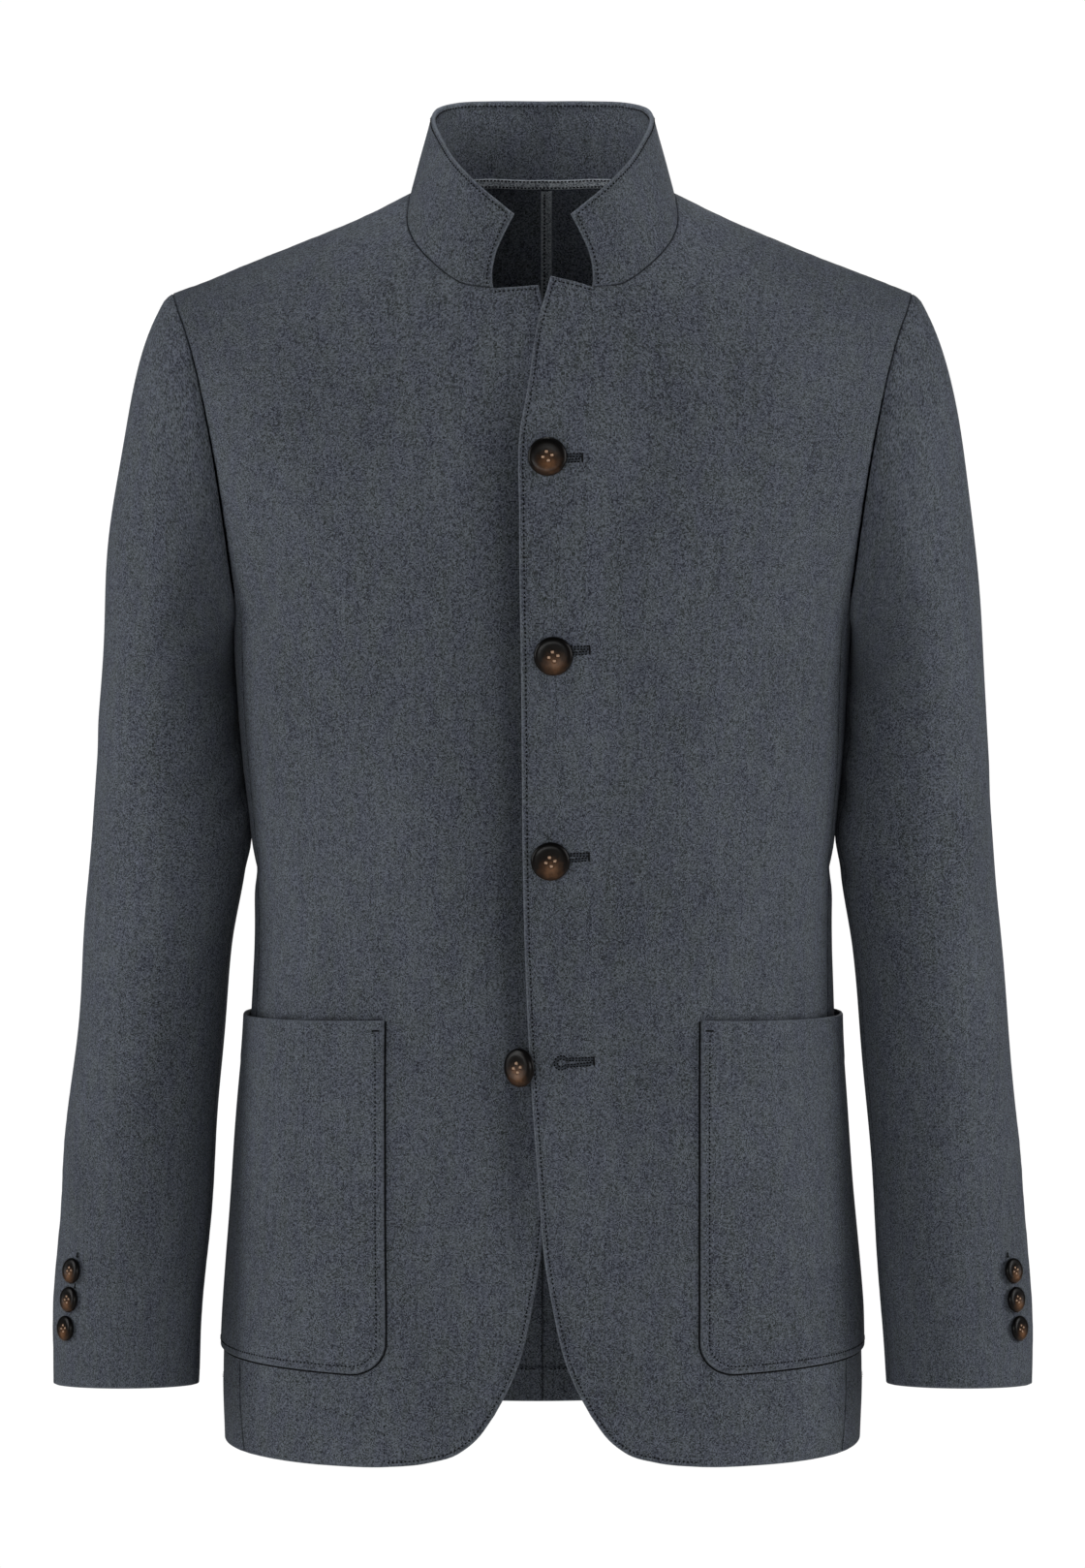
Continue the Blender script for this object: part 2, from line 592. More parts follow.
def newMaterial(name, values):
    # a material whose shader has these input values
    made = bpy.data.materials.new(name)
    made.use_nodes = True
    shader = made.node_tree.nodes["Principled BSDF"]
    for key, value in values.items():
        shader.inputs[key].default_value = value
    return made, made.node_tree, shader


weave = {
    "dark": "#08090D", "light": "#757B87", "worn": "#6C727B", "sheen": "#9AA3AE",
    "cool": "#3D4050", "green": "#444C44", "tint": 0.28,
    "pitch": 0.64,          # mm from yarn to yarn, drawn coarser than the real 0.4 so that it shows
    "run": 1.6,             # mm; how far a yarn keeps a light or a dark tone
    # width and length in mm and detail of: warp that lies a little lighter or darker, thick
    # places in the warp, clouds of greener and bluer wool, slow changes
    "grains": [(2.2, 55.0, 1.0), (1.0, 22.0, 1.0), (11.0, 22.0, 3.0), (90.0, 126.0, 2.0)],
    # how far the tone swings with the yarn's run, the crossing, the warp, the clouds, the slow changes
    "swings": (1.15, 0.90, 0.22, 0.11, 0.26),
    "pillow": 0.16,         # how much paler the middle of a crossing is
    "slub": 0.60,           # how much darker a thick place is
    "relief": 0.00035,      # m
}


def wovenCloth(name, values):
    # Wool and linen plain weave, yarn-dyed and left matt: a chequer of warp and weft yarns, each
    # changing in tone and hue along its run, flecked at the crossings, with slubs and soft clouds
    made, tree, shader = newMaterial(name, {
        "Roughness": 0.88, "IOR": 1.46, "Specular IOR Level": 0.25,
        "Sheen Weight": 0.10, "Sheen Roughness": 0.5, "Sheen Tint": fromHex(values["sheen"])})

    def swung(tone, value, share, middle=0.5):
        # tone + share (value - middle)
        off = add(tree, "Math", (value, middle), operation="SUBTRACT")
        return add(tree, "Math", (off, share, tone), operation="MULTIPLY_ADD")

    place = add(tree, "UVMap", uv_map="cloth")
    x, y = (add(tree, "Math", (value, 1000 / values["pitch"]), operation="MULTIPLY")
            for value in add(tree, "SeparateXYZ", (place,)).node.outputs[:2])
    column, row = (add(tree, "Math", (value,), operation="FLOOR") for value in (x, y))
    both = add(tree, "Math", (column, row), operation="ADD")
    above = add(tree, "Math", (both, 2.0), operation="FLOORED_MODULO")
    # a yarn reads the noise along its own line, far from its neighbour's
    run = values["pitch"] / values["run"]
    warp, weft = (add(tree, "VectorMath", (add(tree, "CombineXYZ", pair), scale), operation="MULTIPLY")
                  for pair, scale in (((column, y), (17.31, run, 0)), ((x, row), (run, 13.77, 0))))
    yarn = add(tree, "Mix", {0: above, 4: warp, 5: weft}, 1, data_type="VECTOR")
    shade, dye = (add(tree, "TexNoise", {"Vector": add(tree, "VectorMath", (yarn, (far, far, 0))),
                                         "Scale": 1.0, "Detail": 1.0}, noise_dimensions="2D")
                  for far in (0.37, 51.6))
    fleck = add(tree, "TexWhiteNoise", {"Vector": add(tree, "CombineXYZ", (column, row))},
                noise_dimensions="2D")
    streak, slub, cloud, slow = (
        add(tree, "TexNoise", {
            "Vector": add(tree, "VectorMath", (place, (1000 / wide, 1000 / long, 1.0)), operation="MULTIPLY"),
            "Scale": 1.0, "Detail": detail, "Roughness": 0.55}, noise_dimensions="2D")
        for wide, long, detail in values["grains"])
    tone = 0.5
    for value, share in zip((shade, fleck, streak, cloud, slow), values["swings"]):
        tone = swung(tone, value, share)
    # every crossing is a small pillow, |sin x sin y|, darker where the yarns dive
    sines = [add(tree, "Math", (add(tree, "Math", (value, np.pi), operation="MULTIPLY"),), operation="SINE")
             for value in (x, y)]
    pillow = add(tree, "Math", (add(tree, "Math", sines, operation="MULTIPLY"),), operation="ABSOLUTE")
    tone = swung(tone, pillow, values["pillow"], 0.4)
    # thick is the slub noise's part above 0.62
    over = add(tree, "Math", (slub, 0.62), operation="SUBTRACT")
    thick = add(tree, "Math", (over, 0.0), operation="MAXIMUM")
    tone = add(tree, "Math", (thick, -values["slub"], tone), operation="MULTIPLY_ADD")
    dark, light, cool, green, pale = (
        fromHex(values[key]) for key in ("dark", "light", "cool", "green", "worn"))
    base = add(tree, "Mix", {0: tone, 6: dark, 7: light}, 2, data_type="RGBA")
    hue = swung(add(tree, "Math", (dye, 2.4, -0.7), operation="MULTIPLY_ADD"), cloud, 3.0)
    tint = add(tree, "Mix", {0: hue, 6: cool, 7: green}, 2, data_type="RGBA")
    # the worn attribute is the paling of an edge, and below zero the dark of a pinched seam
    worn = add(tree, "Attribute", out="Fac", attribute_name="worn")
    pinched = add(tree, "Math", (worn, -1.0), operation="MULTIPLY")
    for share, colour in ((values["tint"], tint), (worn, pale), (pinched, dark)):
        base = add(tree, "Mix", {0: share, 6: base, 7: colour}, 2, data_type="RGBA")
    tree.links.new(base, shader.inputs["Base Color"])
    height = add(tree, "Math", (pillow, 0.5, shade), operation="MULTIPLY_ADD")
    relief = add(tree, "Bump", {"Height": height, "Strength": 0.55, "Distance": values["relief"]})
    tree.links.new(relief, shader.inputs["Normal"])
    return made


clothMaterial = wovenCloth("woolLinenPlainWeave", weave)
tapeMaterial = wovenCloth("selfClothBiasTape", {
    **weave, "dark": "#353A40", "light": "#C6CDD4", "worn": "#B4BBC3"})


def threadMaterial(name, code):
    # Polyester-wrapped cotton thread: matt like the cloth, its twisted plies darker between
    made, tree, shader = newMaterial(name, {"Roughness": 0.6, "IOR": 1.5, "Specular IOR Level": 0.12})
    place = add(tree, "TexCoord", out="Object")
    ply = add(tree, "TexNoise", {"Vector": place, "Scale": 2600.0, "Detail": 1.0})
    dark = tuple(c * 0.6 for c in fromHex(code)[:3]) + (1.0,)
    base = add(tree, "Mix", {0: ply, 6: dark, 7: fromHex(code)}, 2, data_type="RGBA")
    tree.links.new(base, shader.inputs["Base Color"])
    return made


seamThread = threadMaterial("sewingThreadSlate", "#08090B")
holeThread = threadMaterial("buttonholeTwistSlate", "#42474F")
buttonThread = threadMaterial("buttonThreadTan", "#C9A78D")

horn = {
    # from the heart out to the rim: where a colour lies, in parts of the radius, and the colour
    "stops": [(0.05, "#6E4E36"), (0.36, "#3D2A1C"), (0.63, "#120D0A"), (0.95, "#070606")],
    "heartPlace": (0.05, -0.40, 0.0),       # in parts of the radius from the middle
    "mottle": 2.4,                          # mm
}


def hornMaterial(values):
    # Buffalo horn, turned and buffed: nearly black at the rim, with a paler, cloudy brown heart
    made, tree, shader = newMaterial("polishedBuffaloHorn", {
        "Roughness": 0.30, "IOR": 1.54, "Specular IOR Level": 0.12})
    place, solid = add(tree, "UVMap", uv_map="cloth"), add(tree, "TexCoord", out="Object")
    heart = add(tree, "VectorMath", (place, values["heartPlace"]), operation="SUBTRACT")
    away = add(tree, "VectorMath", (heart,), "Value", operation="LENGTH")
    cloud = add(tree, "TexNoise", {"Vector": solid, "Scale": 1000 / values["mottle"], "Detail": 3.0})
    cloud = add(tree, "Math", (cloud, 0.4, -0.2), operation="MULTIPLY_ADD")
    away = add(tree, "Math", (away, 0.84, cloud), operation="MULTIPLY_ADD")
    colour = add(tree, "ValToRGB", (away,))
    stops = colour.node.color_ramp.elements
    stops[0].position, stops[1].position = values["stops"][0][0], values["stops"][-1][0]
    for position, _ in values["stops"][1:-1]:
        stops.new(position)
    for stop, (_, code) in zip(stops, values["stops"]):
        stop.color = fromHex(code)
    tree.links.new(colour, shader.inputs["Base Color"])
    scratch = add(tree, "TexNoise", {"Vector": solid, "Scale": 900.0})
    relief = add(tree, "Bump", {"Height": scratch, "Strength": 0.15, "Distance": 0.0002})
    tree.links.new(relief, shader.inputs["Normal"])
    return made


hornFinish = hornMaterial(horn)
print("materials made")


# ---- fronts, sides and backs

panels = {
    "wall": 0.0015, "edgeWall": 0.0023,     # a cloth with its turnings; the doubled cloth at an edge
    "facing": 0.0940,       # where the front's facing ends at the hem, distance from the centre
    "hemDepth": 0.0385, "hemStep": 0.00022, "turnUp": 0.0215,
    "backDip": 0.0040,      # the centre back hem hangs this much lower
    "frontCloth": (0.265, 0.785, 0.166), "sideCloth": (0.130, 0.560, 0.0537),
    "backCloth": (0.255, 0.785, 0.161),
}


def frontEdgeLine(side):
    # the spots of a front's open edge, from the cut-away corner up
    corner = cut["topCorner"][side]
    z, x = np.array(cut["frontEdge"] + [corner[::-1]]).T
    heights = np.linspace(z[0], z[-1], 320)
    return spotsAt(columns(smooth(heights, z, x), heights))


def topEdgeLine(side):
    # from the top corner of a front to where the collar begins
    ends = spotsAt([cut["topCorner"][side], cut["frontNeck"][0]])
    return ends[0] + np.linspace(0, 1, 24)[:, None] * (ends[1] - ends[0])


def hemLine(first, last):
    # the front's hem between two spots
    turns = np.linspace(first[0], last[0], 220)
    flat = torso(columns(turns, -1.0))[:, 0]
    spots = spotsAt(columns(flat, smooth(flat, *np.transpose(cut["hem"]))))
    spots[0], spots[-1] = first, last
    return spots


def shoulderLine(back=False):
    # the shoulder seam from the neck out, as the front's spots or the back's
    ridge = np.linspace(body["neckHalf"], body["shoulderHalf"], 90)
    return spotsAt(columns(ridge, shoulderZ(ridge)), back)


def frontLines(side):
    # the front's outline: its seam with the side and the armhole, and its open edges
    stops = np.linspace(cut["frontSeamStop"], 0, 261)
    yoke = 199 + int(np.argmin(np.abs(stops - cut["yokeStop"]))) + 1
    seam = seamLine(1, stops)
    edge = frontEdgeLine(side)
    hem = hemLine(edge[0], seam[0])
    neck = np.concatenate([topEdgeLine(side), frontNeck[1:]])
    sewn = np.concatenate([topEdgeLine(side)[::-1], edge[::-1][1:], hem[1:]])
    outline = np.concatenate([frontNeck, sideNeck[1:], shoulderLine()[1:], seam[::-1]])
    return {"seam": seam, "yoke": yoke, "edge": edge, "hem": hem, "neck": neck, "sewn": sewn,
            "sewnPath": torso(sewn), "seamPath": torso(outline)}


fronts = {side: frontLines(side) for side in ("left", "right")}


def hemBand(flat):
    # the turned-up hem shows as a faint step where it ends above the edge
    above = flat[..., 2] - body["hemZ"] - panels["hemDepth"]
    return panels["hemStep"] * (1 - eased(above / 0.004 + 0.5))


def frontFace(spots, side):
    # the front's outer and inner faces, the directions outwards and its wear
    flat = torso(spots)
    points, normals = skin(spots, side, "front")
    away, place = fromLine(flat, fronts[side]["sewnPath"])
    seamAway, seamPlace = fromLine(flat, fronts[side]["seamPath"])
    out = sewnEdge(away, place) + plainSeam(seamAway, seamPlace) + hemBand(flat)
    doubled = eased((0.030 - away) / 0.010)
    deep = panels["wall"] + (panels["edgeWall"] - panels["wall"]) * doubled + edgeRoll(away) * 0.9
    return *wall(points, normals, out, deep), normals, wearAt(away, seamAway)


def buildFront(side):
    # Two patches: from the hem up to the neck and the yoke line, which runs on from the neck to
    # the armhole, and from there to the shoulder. Columns are closest at the edges.
    lines = fronts[side]
    lower, upper = lines["seam"][:lines["yoke"] + 1], lines["seam"][lines["yoke"]:]
    acrossNeck, acrossYoke, share = parts(0.085, end=False), parts(0.135), 0.385
    u = np.concatenate([acrossNeck * share, share + acrossYoke[1:] * (1 - share)])
    w, wYoke = parts(0.70), parts(0.055, start=False)
    yokeRow = lines["neck"][-1] + acrossYoke[:, None] * (lower[-1] - lines["neck"][-1])
    top = np.concatenate([onBody(lines["neck"], acrossNeck), yokeRow[1:]])
    lowSpots = patch(onBody(lines["edge"], w), onBody(lower, w), onBody(lines["hem"], u), top, u, w)
    highSpots = patch(onBody(sideNeck, wYoke), onBody(upper, wYoke), yokeRow,
                      onBody(shoulderLine(), acrossYoke), acrossYoke, wYoke)
    made = []
    for spots in (lowSpots, highSpots):
        outer, inner, _, worn = frontFace(spots, side)
        gap = cut["gap"] / 2
        if made:
            drawIn(outer, inner, 0, gap, 0, gap)
            outer[0], inner[0] = (made[0][k][-1, -outer.shape[1]:] for k in (0, 1))
        else:
            drawIn(outer, inner, right=gap)
        made.append((outer, inner, clothCoords(spots, side), worn))
    name = "front" + side.capitalize()
    mesh = shellMesh(name, made, clothMaterial, side == "right")
    return addPiece(name, mesh, ["front_" + side])


def panelFace(spots, side, seamPath, hemPath):
    # a side's or a back's faces: seams on its other edges, a turned-up hem below
    flat = torso(spots)
    points, normals = skin(spots, side)
    seamAway, seamPlace = fromLine(flat, seamPath)
    away = fromLine(flat, hemPath)[0]
    out = plainSeam(seamAway, seamPlace) + edgeRoll(away) + hemBand(flat)
    turned = eased((panels["turnUp"] - away) / 0.0010 + 0.5)
    deep = panels["wall"] + 0.0012 * turned + edgeRoll(away) * 0.9
    return *wall(points, normals, out, deep), wearAt(away, seamAway)


def dipped(points):
    # the back's hem hangs a little lower towards its centre
    x, y, z = np.moveaxis(points, -1, 0)
    dip = panels["backDip"] * bell(x, 0.075) * eased((-0.60 - z) / 0.157) * (y > 0)
    return points - columns(0, 0, dip)


def buildPanel(name, node, side, left, right, bottom, top, u, w, rightGap):
    # a side or a back from its four edges, with u across and w up
    spots = patch(onBody(left, w), onBody(right, w), bottom, top, u, w)
    edge = np.concatenate([left, top[1:], right[::-1][1:]])
    outer, inner, worn = panelFace(spots, side, torso(edge), torso(bottom))
    outer, inner = dipped(outer), dipped(inner)
    gap = cut["gap"] / 2
    drawIn(outer, inner, gap, rightGap, 0, gap)
    mesh = shellMesh(name, [(outer, inner, clothCoords(spots, side), worn)], clothMaterial, side == "right")
    return addPiece(name, mesh, [node])


def level(spots, u):
    # a hem between two seams
    return columns(spots[0] + (spots[1] - spots[0]) * u, -1.0)


def buildSide(side):
    # between the front and the back, up to the bottom of the armhole
    u, w = parts(0.115), parts(0.53)
    stops = np.linspace(cut["frontSeamStop"], cut["backSeamStop"], 160)
    front, back = seamLine(1, stops[:1]), seamLine(2, stops[-1:])
    return buildPanel("side" + side.capitalize(), "side_" + side, side, front, back,
                      level((front[0, 0], back[0, 0]), u), onBody(armhole(stops), u), u, w, cut["gap"] / 2)


def buildBack(side):
    # half the back: its top runs along the shoulder, for a share of its columns, and the neck
    share = 0.64
    acrossYoke, acrossNeck = parts(0.155, end=False), parts(0.085)
    u = np.concatenate([acrossYoke * share, share + acrossNeck[1:] * (1 - share)])
    turn = panels["turnUp"] + np.arange(-0.0036, 0.0037, 0.0006)      # finer rows where the turn-up ends
    w = np.union1d(parts(0.76), turn / 0.76)
    seam = seamLine(2, np.linspace(cut["backSeamStop"], 360, 200))
    centre = columns(180.0, np.linspace(-1, backNeck[-1, 1], 300))
    shoulder = shoulderLine(back=True)[::-1]
    top = np.concatenate([onBody(shoulder, acrossYoke), onBody(backNeck, acrossNeck)[1:]])
    return buildPanel("back" + side.capitalize(), "back_" + side, side, seam, centre,
                      level((seam[0, 0], 180.0), u), top, u, w, 0.0)


cloths = {}
for side in ("left", "right"):
    cloths["front", side] = buildFront(side)
    cloths["side", side] = buildSide(side)
    cloths["back", side] = buildBack(side)
print("fronts, sides and backs made")


# ---- sleeves

sleeve = {
    # z, centre across, half width, centre forwards or back, half depth, from the cuff up
    "rings": [
        (-0.7195, 0.25250, 0.0440, -0.0360, 0.0450), (-0.6730, 0.25100, 0.0458, -0.0280, 0.0480),
        (-0.6010, 0.24620, 0.0455, -0.0150, 0.0520), (-0.5300, 0.24040, 0.0451, -0.0040, 0.0560),
        (-0.4590, 0.23410, 0.0456, 0.0040, 0.0600), (-0.4040, 0.22810, 0.0470, 0.0080, 0.0640),
        (-0.3520, 0.22680, 0.0446, 0.0085, 0.0670), (-0.3000, 0.22800, 0.0408, 0.0080, 0.0705)],
    "topStops": (-60, 164), "underStops": (164, 300),
    # how the cap leaves the armhole: a direction, how it swings round, and the two ends' pull
    "capLeave": (0.50, 0.0, -0.78), "capSwing": (0.32, 0.33, 0.21), "startPull": 0.45, "endPull": 0.85,
    "armpitEase": 0.0012, "hindarmTwist": 75.0, "forearmTwist": 2.0, "cuffSlant": 0.10,
    "touchEnd": -0.412, "touchIn": 0.0004,      # where the sleeve leaves the body, and how close it lies
    "around": 0.335,        # the sleeve's girth, which its creases are placed on
    "wall": 0.0015, "capRoll": 0.0010, "capFull": 0.0008,
    "topCloth": (0.200, 0.680, 0.1112), "underCloth": (0.150, 0.620, 0.0762),
    # creases: side, then turn and height of both ends, bow, half width and depth
    "creases": [
        ("both", 178, -0.318, 92, -0.352, 0.006, 0.0100, 0.0025),
        ("both", 182, -0.352, 80, -0.386, 0.007, 0.0095, 0.0029),
        ("right", 176, -0.385, 96, -0.415, 0.004, 0.0090, 0.0021),
        ("left", 176, -0.402, 88, -0.424, 0.004, 0.0100, 0.0018),
        ("both", 190, -0.340, 262, -0.305, 0.006, 0.0110, 0.0021),
        ("both", 186, -0.384, 270, -0.392, 0.004, 0.0110, 0.0019),
        ("right", 122, -0.220, 66, -0.300, 0.005, 0.0120, 0.0019),
        ("left", 118, -0.232, 60, -0.290, -0.005, 0.0125, 0.0018),
        ("both", 78, -0.120, 44, -0.262, 0.006, 0.0140, 0.0014),
        ("both", -54, -0.135, -32, -0.270, 0.006, 0.0150, 0.0015),
        ("both", 236, -0.210, 285, -0.300, 0.005, 0.0130, 0.0018),
        ("right", 40, -0.400, 5, -0.330, 0.004, 0.0120, 0.0014),
        ("left", 52, -0.440, 8, -0.360, 0.004, 0.0130, 0.0014),
        ("right", 128, -0.500, 84, -0.560, 0.005, 0.0130, 0.0016),
        ("left", 132, -0.470, 90, -0.540, 0.005, 0.0130, 0.0015),
        ("both", 64, -0.560, 22, -0.650, 0.004, 0.0150, 0.0014),
        ("both", 150, -0.600, 116, -0.690, 0.003, 0.0130, 0.0014),
        ("both", 215, -0.520, 262, -0.600, 0.004, 0.0150, 0.0015)],
}


def sleeveRing(z, turn):
    # The sleeve below the biceps; turn 0 is outermost, 90 frontmost and 180 innermost. The
    # rings slant towards the cuff, whose front edge is the higher.
    z0, centres, halves, middles, depths = np.transpose(sleeve["rings"])
    turn = np.radians(turn)
    down = np.clip((z0[-1] - z) / (z0[-1] - z0[0]), 0, 1)
    x = smooth(z, z0, centres) + smooth(z, z0, halves) * np.cos(turn)
    ahead = smooth(z, z0, depths) * np.sin(turn)
    return columns(x, smooth(z, z0, middles) - ahead, z + sleeve["cuffSlant"] * down * ahead)


def sleeveBase(stops):
    # Rows up from the cuff to the armhole: rings, then the cap, whose columns are cubics with a
    # start and an end direction. Gives the points and the turn of each.
    bottom, top = sleeve["rings"][0][0], sleeve["rings"][-1][0]
    share = (stops - stops[0]) / (stops[-1] - stops[0])
    share = 1 - share if stops[0] > 0 else share
    twist = sleeve["hindarmTwist"] * (1 - share) + sleeve["forearmTwist"] * share
    rows, turns = [], []
    for z in bottom + (top - bottom) * parts(top - bottom, end=False):
        turns.append(stops + twist * eased((top - z) / (top - bottom)))
        rows.append(sleeveRing(z, turns[-1]))
    turn = np.radians(stops)
    start = torso(armhole(np.mod(stops, 360.0001)))
    start[:, 0] += sleeve["armpitEase"] * (1 - np.cos(turn)) / 2
    swing = columns(np.cos(turn), -np.sin(turn), np.cos(turn)) * sleeve["capSwing"]
    end = rows[-1]
    span = np.linalg.norm(end - start, axis=1, keepdims=True)
    leave = unit(np.array(sleeve["capLeave"]) + swing) * span * sleeve["startPull"]
    arrive = (sleeveRing(top - 0.01, stops) - end) / 0.01 * span * sleeve["endPull"]
    for s in 1 - parts(0.16, start=False)[1:]:
        rows.append((1 + 2 * s) * (1 - s) ** 2 * start + s * (1 - s) ** 2 * leave
                    + s * s * (3 - 2 * s) * end - s * s * (1 - s) * arrive)
        turns.append(stops)
    return np.array(rows), np.array(turns)


def besideBody(points, turns):
    # how far the sleeve's inner face comes in to lie against the body, down to the elbow
    z = points[..., 2]
    z0, centres, halves = np.transpose(sleeve["rings"])[:3]
    low = np.clip(z, z0[0], z0[-1])
    bodyHalf = smooth(low, *np.transpose(body["sections"])[:2])
    away = smooth(low, z0, centres) - smooth(low, z0, halves) - bodyHalf
    near = np.clip(-np.cos(np.radians(turns)), 0, 1) ** 2
    window = eased((z - sleeve["touchEnd"]) / 0.03) * eased((-0.235 - z) / 0.02)
    return np.maximum(away + sleeve["touchIn"], 0) * near * window


def sleeveLift(points, turns, side):
    # how far the sleeve's cloth stands in or out: slow waves and its own creases
    z = points[..., 2]
    phase = 0.0 if side == "left" else 1.9
    lift = 0.0007 * np.sin(2 * np.pi * z / 0.19 + phase) * np.sin(np.radians(turns * 2) + phase)
    lift += 0.0006 * np.sin(2 * np.pi * z / 0.115 + 2 + phase) * np.cos(np.radians(turns) + 1 + phase)
    for where, t0, z0, t1, z1, bow, width, depth in sleeve["creases"]:
        if where in ("both", side):
            a0, a1 = (t / 360 * sleeve["around"] for t in (t0, t1))
            for shift in (-360, 0, 360):
                across = (turns + shift) / 360 * sleeve["around"]
                lift -= depth * trough(across, z, ((a0, z0), (a1, z1)), bow, width)
    return lift


def buildSleeve(which, side):
    # a top or an under sleeve: its faces stand off the base grid, and its seams and edges roll in
    low, high = sleeve[which + "Stops"]
    stops = low + (high - low) * parts((high - low) / 360 * sleeve["around"])
    base, turns = (rows[:, ::-1] for rows in sleeveBase(stops))
    normals = gridNormals(base)
    hindarm, forearm = fromLine(base, base[:, 0]), fromLine(base, base[:, -1])
    away, place = (np.minimum(*both) for both in zip(hindarm, forearm))
    cuffAway = fromLine(base, base[0])[0]
    capAway, capPlace = fromLine(base, base[-1])
    still = eased(capAway / 0.03) * (0.4 + 0.6 * eased(cuffAway / 0.03))
    full = sleeve["capFull"] * bell(capAway - 0.006, 0.005) * (1 + 0.4 * np.sin(capPlace / 0.017 * 2 * np.pi))
    out = (sleeveLift(base, turns, side) * still + plainSeam(away, place) + edgeRoll(cuffAway)
           + edgeRoll(capAway, sleeve["capRoll"]) + full)
    deep = sleeve["wall"] + 0.0010 * eased((0.040 - cuffAway) / 0.004) + edgeRoll(cuffAway) * 0.9
    base = base - columns(besideBody(base, turns), 0, 0)
    outer, inner = wall(base, normals, out, deep - np.minimum(out, 0) * 0.3)
    gap = cut["gap"] / 2
    drawIn(outer, inner, gap, gap, 0, gap)
    coords = gridCoords(base, {"top": 1.3, "under": 3.9}[which] + (0 if side == "left" else 0.77))
    name = f"sleeve{which.capitalize()}{side.capitalize()}"
    mesh = shellMesh(name, [(outer * flips[side], inner * flips[side], coords, wearAt(cuffAway, away))],
                     clothMaterial, side == "right")
    return addPiece(name, mesh, [f"sleeve_{which}_{side}"])


for side in ("left", "right"):
    for which in ("top", "under"):
        cloths[which, side] = buildSleeve(which, side)
print("sleeves made")


# ---- collar, neck tape and back seam binding

collar = {
    # the top edge from the front tip round to the centre back
    "top": [
        (0.0167, -0.0930, -0.0125), (0.0398, -0.0830, 0.0065), (0.0519, -0.0660, 0.0190),
        (0.0617, -0.0380, 0.0335), (0.0662, -0.0100, 0.0430), (0.0662, 0.0120, 0.0480),
        (0.0610, 0.0330, 0.0520), (0.0500, 0.0480, 0.0543), (0.0280, 0.0600, 0.0552), (0.0, 0.0645, 0.0553)],
    "endBow": 0.0045, "endShare": 0.12, "wall": 0.0024, "height": 0.050, "seamGap": -0.0002,
    "flat": (0.520, 0.060, 0.0235),
}


def collarBase(share, w):
    # half the stand: share runs from the front end to the centre back, w from the neck seam up
    share, w = np.broadcast_arrays(np.asarray(share, float), np.asarray(w, float))
    low, high = along(neckPath, share.ravel()), along(collar["top"], share.ravel())
    height = w.ravel()[:, None]
    points = low + (high - low) * height
    near = np.clip(1 - share.ravel() / collar["endShare"], 0, 1) ** 2
    points[:, 0] += collar["endBow"] * near * np.sin(np.pi * np.clip(w.ravel(), 0, 1) ** 0.8)
    return points.reshape(share.shape + (3,))


def collarFace(share, w):
    # the collar's outer and inner faces with the directions outwards, on the wearer's left
    base = collarBase(share, w)
    normals = unit(np.cross(collarBase(share + 0.004, w) - collarBase(share - 0.004, w),
                            collarBase(share, w + 0.02) - collarBase(share, w - 0.02)))
    up = np.linalg.norm(collarBase(share, 1.0) - collarBase(share, 0.0), axis=-1)
    end, top, seam = share * reachOf(neckPath)[-1], (1 - w) * up, w * up
    away = np.minimum(end, top)
    place = np.where(end < top, seam, end)
    wave = 0.0004 * np.sin(share * 19 + 1) * np.sin(w * 3 + share * 7) * eased(seam / 0.02)
    out = wave + sewnEdge(away, place) + plainSeam(seam, place)
    row = 0.00030 * bell(away - edges["stitched"], edges["grooveWidth"])
    deep = collar["wall"] - wave + edgeRoll(away) + row
    return *wall(base, normals, out, deep), normals, away


def bothHalves(half):
    # the left half's columns, then the right half's back from the centre
    return np.concatenate([half, half[:, -2::-1] * flips["right"]], axis=1)


def buildCollar():
    # the stand from one front end round to the other
    share, w = parts(0.215, end=False), parts(collar["height"])
    outer, inner, _, away = collarFace(share[None], w[:, None])
    outer, inner = bothHalves(outer), bothHalves(inner)
    drawIn(outer, inner, bottom=collar["seamGap"])
    away = np.concatenate([away, away[:, -2::-1]], axis=1)
    mesh = shellMesh("collarStand", [(outer, inner, gridCoords(outer, 5.1), wearAt(away))], clothMaterial)
    return addPiece("collarStand", mesh, ["collar"])


def collarStitches():
    # one row along the top edge and both ends, on the outside and, as dots, on the inside
    inset = edges["stitched"]
    low = collarFace(0.014, np.linspace(0.04, 1 - inset / 0.03, 30))
    shares = np.linspace(0.014, 1, 300)
    up = np.linalg.norm(collarBase(shares, 1.0) - collarBase(shares, 0.0), axis=-1)
    high = collarFace(shares, 1 - inset / up)
    rows = []
    for face, sign in ((0, 1), (1, -1)):
        path = np.concatenate([low[face], high[face][1:]])
        normals = np.concatenate([low[2], high[2][1:]]) * sign
        for flip in flips.values():
            rows.append(stitchRow(path * flip, normals * flip, start=0.2))
    return addStitches("collarStitches", rows, seamThread)


tapes = {
    "neckHeight": 0.0058, "thick": 0.0009, "neckGap": 0.0004,
    "bindingWidth": 0.0068, "bindingShift": 0.0024, "bindingTop": 0.700, "bindingEnd": -0.655,
    "row": 0.0010, "bindingRow": 0.0012,    # stitches from the neck tape's edge, from the binding's middle
    "stitchLength": 0.0017,
    # the columns across, in parts of half the width
    "columns": (-1, -0.93, -0.82, -0.66, -0.5, 0, 0.5, 0.66, 0.82, 0.93, 1),
}


